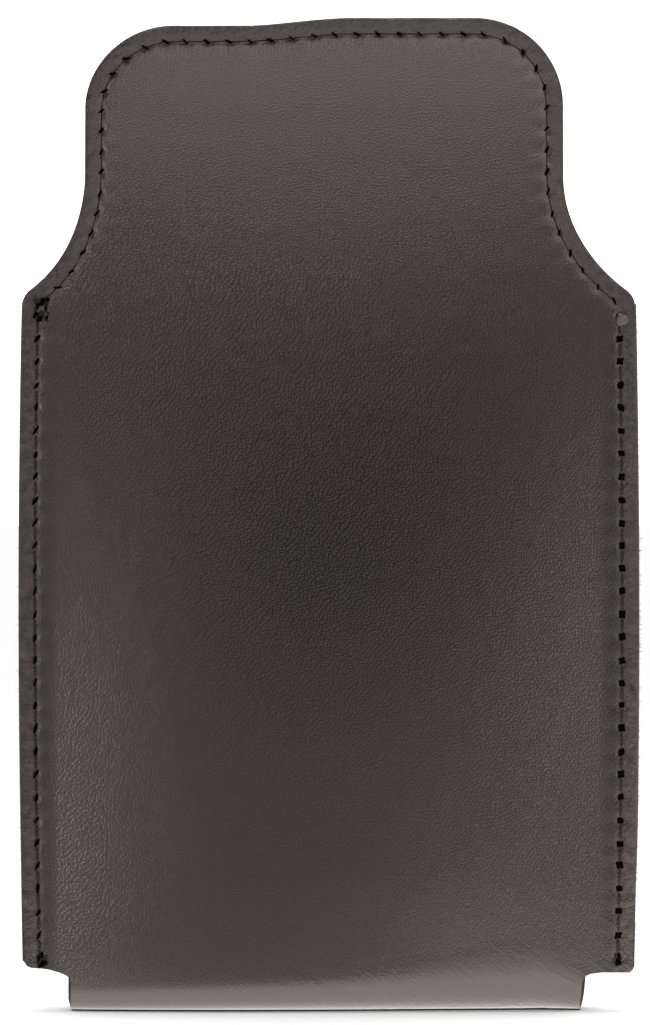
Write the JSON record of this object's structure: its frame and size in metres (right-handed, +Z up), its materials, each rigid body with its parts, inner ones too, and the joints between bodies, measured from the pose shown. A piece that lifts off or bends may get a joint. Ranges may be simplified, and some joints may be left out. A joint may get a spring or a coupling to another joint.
{
  "type": "leather ever ready case",
  "caption": "Slim leather slip-in camera case: a skin folded round the bottom, sewn up both sides, with a stitched tongue that folds over the mouth.",
  "frame": {"origin": "middle of the flat foot under the bottom fold, on the surface the case stands on", "axes": "+Z up the case towards the tongue, -Y out of the plain back, +Y out of the front panel, +X to the right seen from the back"},
  "size_m": [0.1126, 0.0242, 0.1806],
  "materials": {
    "leather": "smooth dark brown-black leather, satin, fine grain",
    "lining": "brown napped cloth",
    "thread": "waxed dark brown thread",
    "thread_end": "melted end of synthetic thread, glossy"
  },
  "bodies": {
    "case": {"case_leather": "leather", "case_lining": "lining", "left_seam_thread_back": "thread", "left_seam_thread_front": "thread", "right_seam_thread_back": "thread", "right_seam_thread_front": "thread", "mouth_thread_outside": "thread", "mouth_thread_inside": "thread", "left_shoulder_thread": "thread", "right_shoulder_thread": "thread", "left_top_tack": "thread", "right_top_knot": "thread_end", "left_foot_tack": "thread", "right_foot_tack": "thread"},
    "bridge": {"bridge_leather": "leather", "bridge_lining": "lining", "left_bridge_thread_outside": "thread", "left_bridge_thread_inside": "thread", "right_bridge_thread_outside": "thread", "right_bridge_thread_inside": "thread"},
    "tip": {"tip_leather": "leather", "tip_lining": "lining", "tip_thread_outside": "thread", "tip_thread_inside": "thread"}
  },
  "joints": [
    {"name": "root_bend", "type": "hinge", "parent": "case", "child": "bridge", "pos_m": [0, -0.00625, 0.133], "axis": [-1, 0, 0], "range_deg": [0, 88]},
    {"name": "tip_bend", "type": "hinge", "parent": "bridge", "child": "tip", "pos_m": [0, -0.00525, 0.15197], "axis": [-1, 0, 0], "range_deg": [0, 88]}
  ],
  "couplings": [
    {"joint": "tip_bend", "follows": "root_bend", "ratio": 1}
  ]
}
